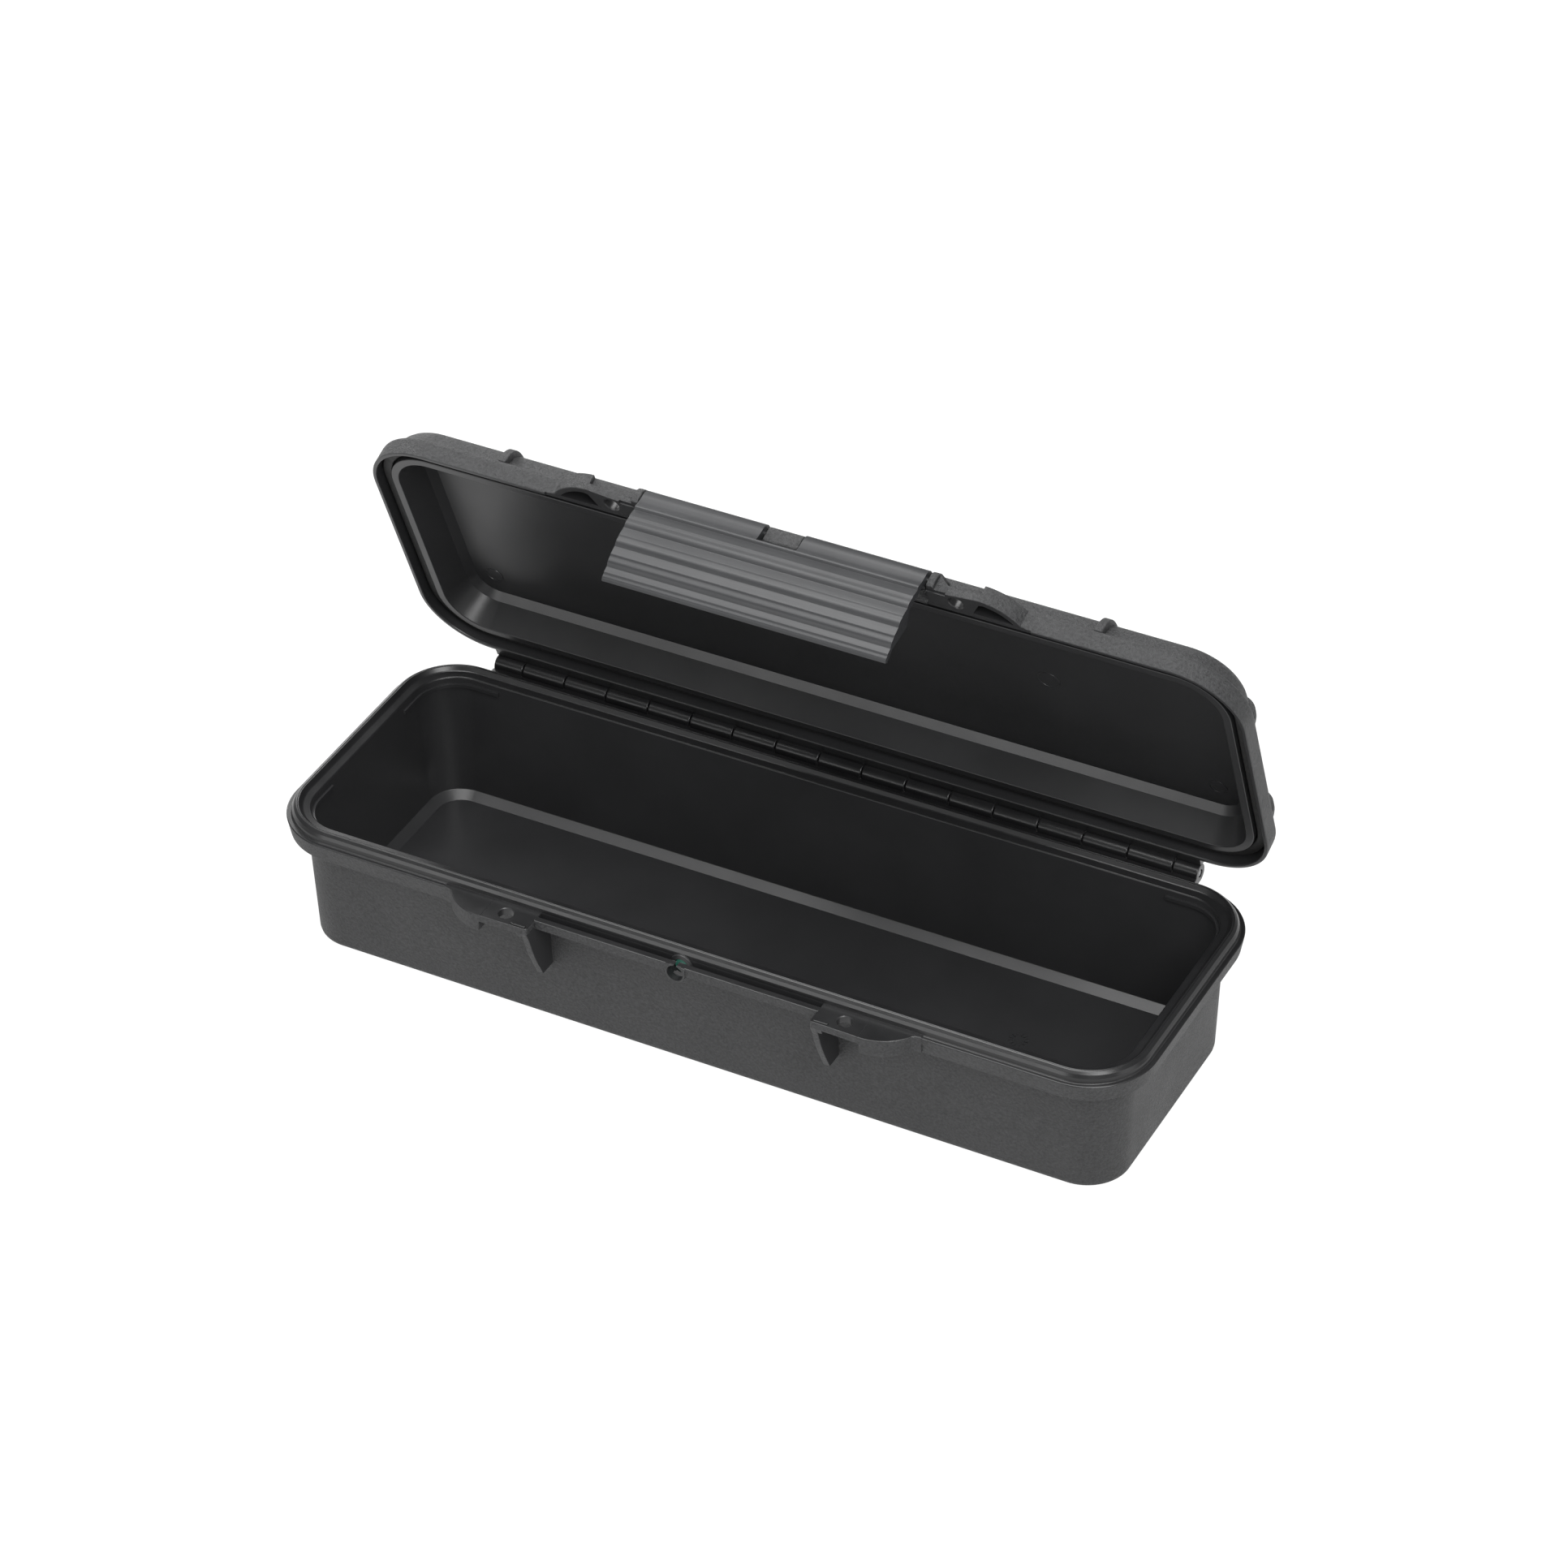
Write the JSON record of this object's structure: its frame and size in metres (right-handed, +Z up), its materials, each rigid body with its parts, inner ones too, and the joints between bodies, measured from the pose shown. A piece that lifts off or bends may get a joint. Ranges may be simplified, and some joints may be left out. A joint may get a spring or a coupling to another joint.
{
  "type": "latched utility case",
  "caption": "Long slim moulded utility case with a shallow hinged lid, a wide fluted swing latch, padlock lugs and a vented front wall, shown open.",
  "frame": {"origin": "centre of the base's flat underside", "axes": "+X along the length, to the right seen from the latch side; +Y from the latch towards the hinge; +Z up. The lid is stored open by 69 degrees, as in the picture"},
  "size_m": [0.35, 0.1517, 0.1862],
  "materials": {
    "shell": "fine spark texture outside, satin inside",
    "latch": "satin",
    "seal": "matte",
    "rod": "drawn wire",
    "vent": "gloss",
    "membrane": "matte film"
  },
  "bodies": {
    "base": {"base_shell": "shell", "hinge_rod": "rod", "vent_plug": "vent", "vent_membrane": "membrane", "vent_o_ring": "seal"},
    "lid": {"lid_shell": "shell", "lid_seal": "seal", "latch_rod": "rod"},
    "latch": {"latch": "latch"}
  },
  "joints": [
    {"name": "lid_hinge", "type": "hinge", "parent": "base", "child": "lid", "pos_m": [0, 0.06853, 0.05342], "axis": [1, 0, 0], "range_deg": [-41, 69]},
    {"name": "latch_pivot", "type": "hinge", "parent": "lid", "child": "latch", "pos_m": [0, 0.02582, 0.18166], "axis": [1, 0, 0], "range_deg": [-170, 13.5]}
  ]
}
